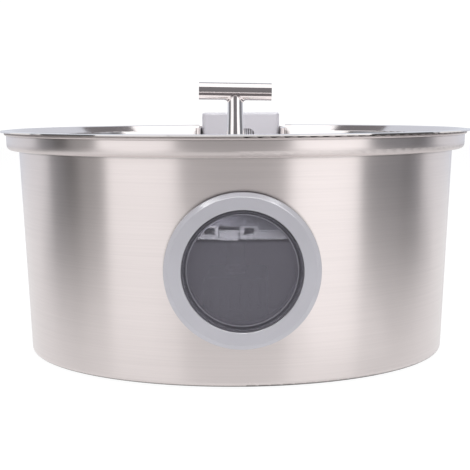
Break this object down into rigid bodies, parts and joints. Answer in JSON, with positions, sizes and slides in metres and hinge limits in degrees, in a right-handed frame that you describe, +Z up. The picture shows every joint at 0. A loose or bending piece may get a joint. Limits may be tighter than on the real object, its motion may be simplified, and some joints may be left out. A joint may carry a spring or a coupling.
{
  "type": "pet water fountain",
  "caption": "Round brushed steel pet fountain: stepped bowl with a round smoked window, lift-out drinking tray, tee spout, rear filter cap and an internal pump.",
  "frame": {"origin": "on the floor, under the middle of the bowl", "axes": "+Z up, -Y towards the window, +Y towards the filter cap"},
  "size_m": [0.3216, 0.3196, 0.1828],
  "materials": {
    "brushed_steel": "satin",
    "polished_steel": "polished",
    "light_grey_abs": "satin",
    "grey_abs": "satin",
    "pale_grey_abs": "satin",
    "smoked_lens": "gloss",
    "dark_rubber": "matte",
    "clear_silicone": "satin",
    "black_abs": "matte",
    "steel_fittings": "satin",
    "brass": "satin",
    "ceramic": "satin",
    "magnet": "satin",
    "lead_jacket": "satin",
    "foam": "matte",
    "carbon": "matte",
    "cotton": "matte"
  },
  "bodies": {
    "bowl_body": {"bowl": "brushed_steel", "foot_pads": "clear_silicone", "window_ring": "light_grey_abs", "window_gasket": "dark_rubber", "window_backing": "grey_abs", "window_nut": "grey_abs", "window_lens": "smoked_lens", "lens_gasket": "dark_rubber", "drain_tower": "light_grey_abs", "tower_screws": "steel_fittings", "power_socket": "black_abs", "socket_pin": "brass", "filter_box": "grey_abs", "nozzle_socket": "grey_abs", "water_hose": "clear_silicone", "hose_clips": "steel_fittings", "pump_body": "black_abs", "volute_cover": "black_abs", "intake_cover": "black_abs", "pump_sponge": "foam", "impeller_shaft": "ceramic", "shaft_bushes": "dark_rubber", "suction_cups": "dark_rubber", "pump_lead": "lead_jacket", "lead_clips": "pale_grey_abs"},
    "tray_body": {"drinking_tray": "polished_steel", "spout_grommet": "clear_silicone"},
    "spout_body": {"spout_tee": "polished_steel", "spout_nut": "polished_steel", "spout_o_ring": "dark_rubber"},
    "cap_body": {"filter_cap": "light_grey_abs", "strainer_basket": "pale_grey_abs"},
    "filter_base_body": {"filter_base": "pale_grey_abs", "filter_cassette": "pale_grey_abs", "filter_foam": "foam", "carbon_bed": "carbon", "filter_cotton": "cotton"},
    "impeller_body": {"impeller": "black_abs", "rotor_magnet": "magnet"},
    "dial_body": {"flow_dial": "black_abs"}
  },
  "joints": [
    {"name": "tray_lift", "type": "slide", "parent": "bowl_body", "child": "tray_body", "axis": [0, 0, 1], "range_m": [0, 0.12]},
    {"name": "spout_swivel", "type": "hinge", "parent": "tray_body", "child": "spout_body", "pos_m": [0, 0, 0.13271], "axis": [0, 0, 1], "continuous": true},
    {"name": "cap_lift", "type": "slide", "parent": "bowl_body", "child": "cap_body", "axis": [0, 0, 1], "range_m": [0, 0.1]},
    {"name": "filter_base_drop", "type": "slide", "parent": "bowl_body", "child": "filter_base_body", "axis": [0, 0, -1], "range_m": [0, 0.026]},
    {"name": "impeller_spin", "type": "hinge", "parent": "bowl_body", "child": "impeller_body", "pos_m": [0, 0, 0.0288], "axis": [-0.061, -0.9981, 0], "continuous": true},
    {"name": "flow_dial_turn", "type": "hinge", "parent": "bowl_body", "child": "dial_body", "pos_m": [-0.00159, -0.02595, 0.0198], "axis": [-0.061, -0.9981, 0], "range_deg": [0, 90]}
  ]
}
